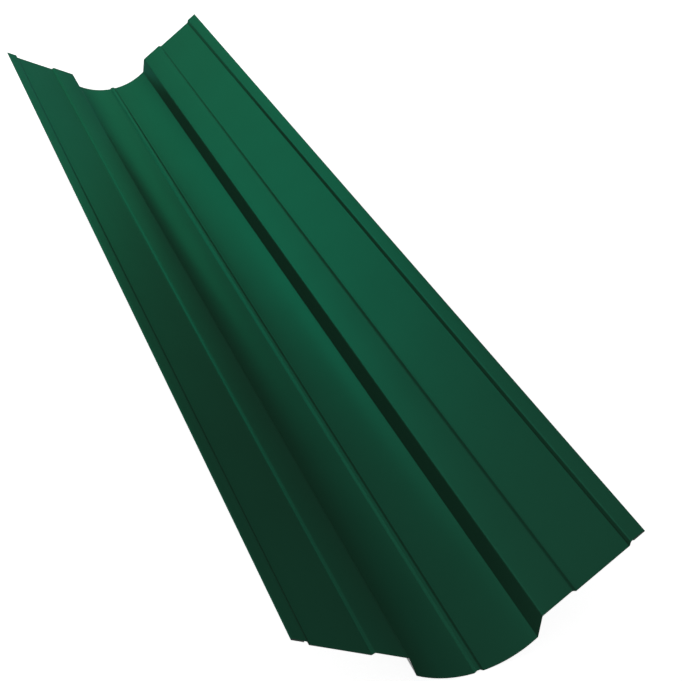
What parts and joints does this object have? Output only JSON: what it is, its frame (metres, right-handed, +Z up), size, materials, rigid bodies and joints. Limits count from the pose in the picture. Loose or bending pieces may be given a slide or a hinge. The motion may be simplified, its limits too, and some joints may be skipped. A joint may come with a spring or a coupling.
{
  "type": "roof valley flashing",
  "caption": "Pressed sheet-steel roof valley: round trough with a centre bead, steep webs and sloping flanges with sunk panels and hemmed edges, to drain the line where roof slopes meet.",
  "frame": {"origin": "middle of the length and width, on the floor line under the trough", "axes": "+Y along the length of the valley, +X across it to the right, +Z up, out of the open side of the trough"},
  "size_m": [0.41, 2, 0.1272],
  "materials": {
    "green_coat": "satin"
  },
  "bodies": {
    "root": {"valley_sheet": "green_coat"}
  },
  "joints": []
}
